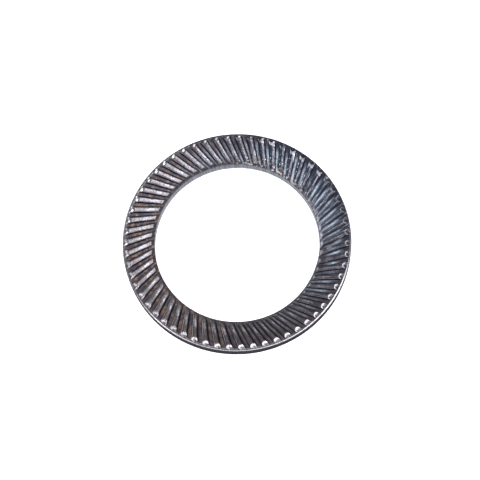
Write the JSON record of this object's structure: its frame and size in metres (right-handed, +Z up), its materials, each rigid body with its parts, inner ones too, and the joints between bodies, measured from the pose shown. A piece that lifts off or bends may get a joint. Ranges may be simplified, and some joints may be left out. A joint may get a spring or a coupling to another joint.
{
  "type": "spring lock washer",
  "caption": "Round, dished spring steel lock washer with slanted ribs on both faces and a plain round bore.",
  "frame": {"origin": "on the bore's axis, in the plane that the lowest rib ends rest on", "axes": "+Z up along the bore, towards the hollow side; the ring is alike all round, so X and Y are free"},
  "size_m": [0.018, 0.018, 0.0016],
  "materials": {
    "spring_steel": "dark oiled spring steel, its rib crests rubbed bright, with faint brown rust in the grooves"
  },
  "bodies": {
    "root": {"washer": "spring_steel"}
  },
  "joints": []
}
